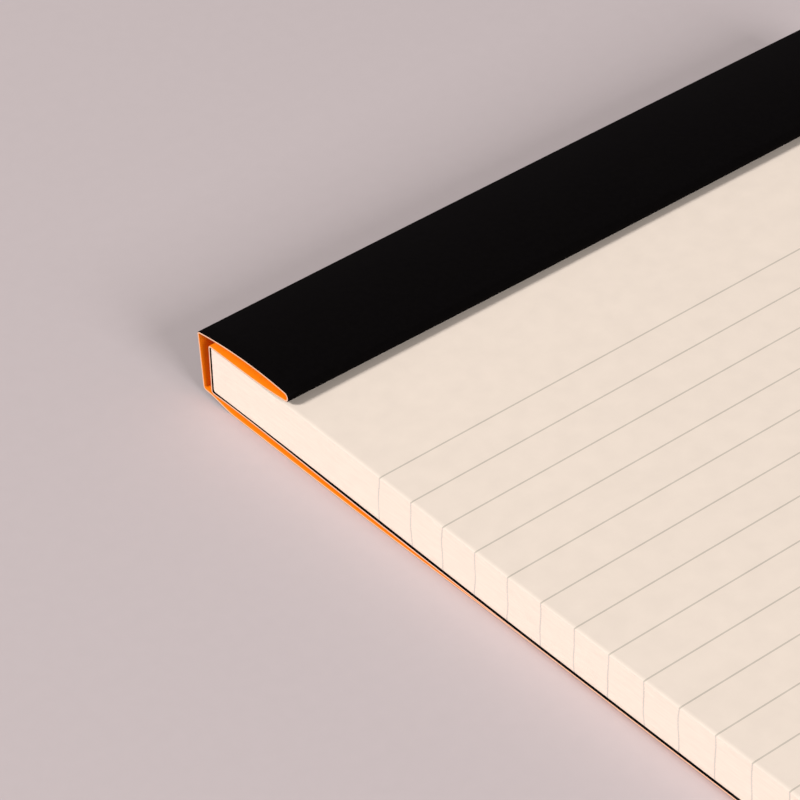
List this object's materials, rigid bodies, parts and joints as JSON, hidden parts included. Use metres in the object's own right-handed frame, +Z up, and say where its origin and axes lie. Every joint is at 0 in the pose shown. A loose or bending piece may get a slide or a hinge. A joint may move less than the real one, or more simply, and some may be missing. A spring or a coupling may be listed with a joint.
{
  "type": "stapled notepad",
  "caption": "Head-stapled ruled notepad lying flat, with its one-piece card cover folded right back over the head and under the sheets.",
  "frame": {"origin": "centre of the pad's outline on the table it lies on", "axes": "+Y towards the stapled head, +X to the right of someone who writes on the pad, +Z up"},
  "size_m": [0.1484, 0.2138, 0.0146],
  "materials": {
    "cover_card": "satin coated, orange outside and black inside",
    "paper": "matt cream with grey ruling",
    "wire": "drawn wire"
  },
  "bodies": {
    "root": {"cover": "cover_card", "page_block": "paper", "staples": "wire"}
  },
  "joints": []
}
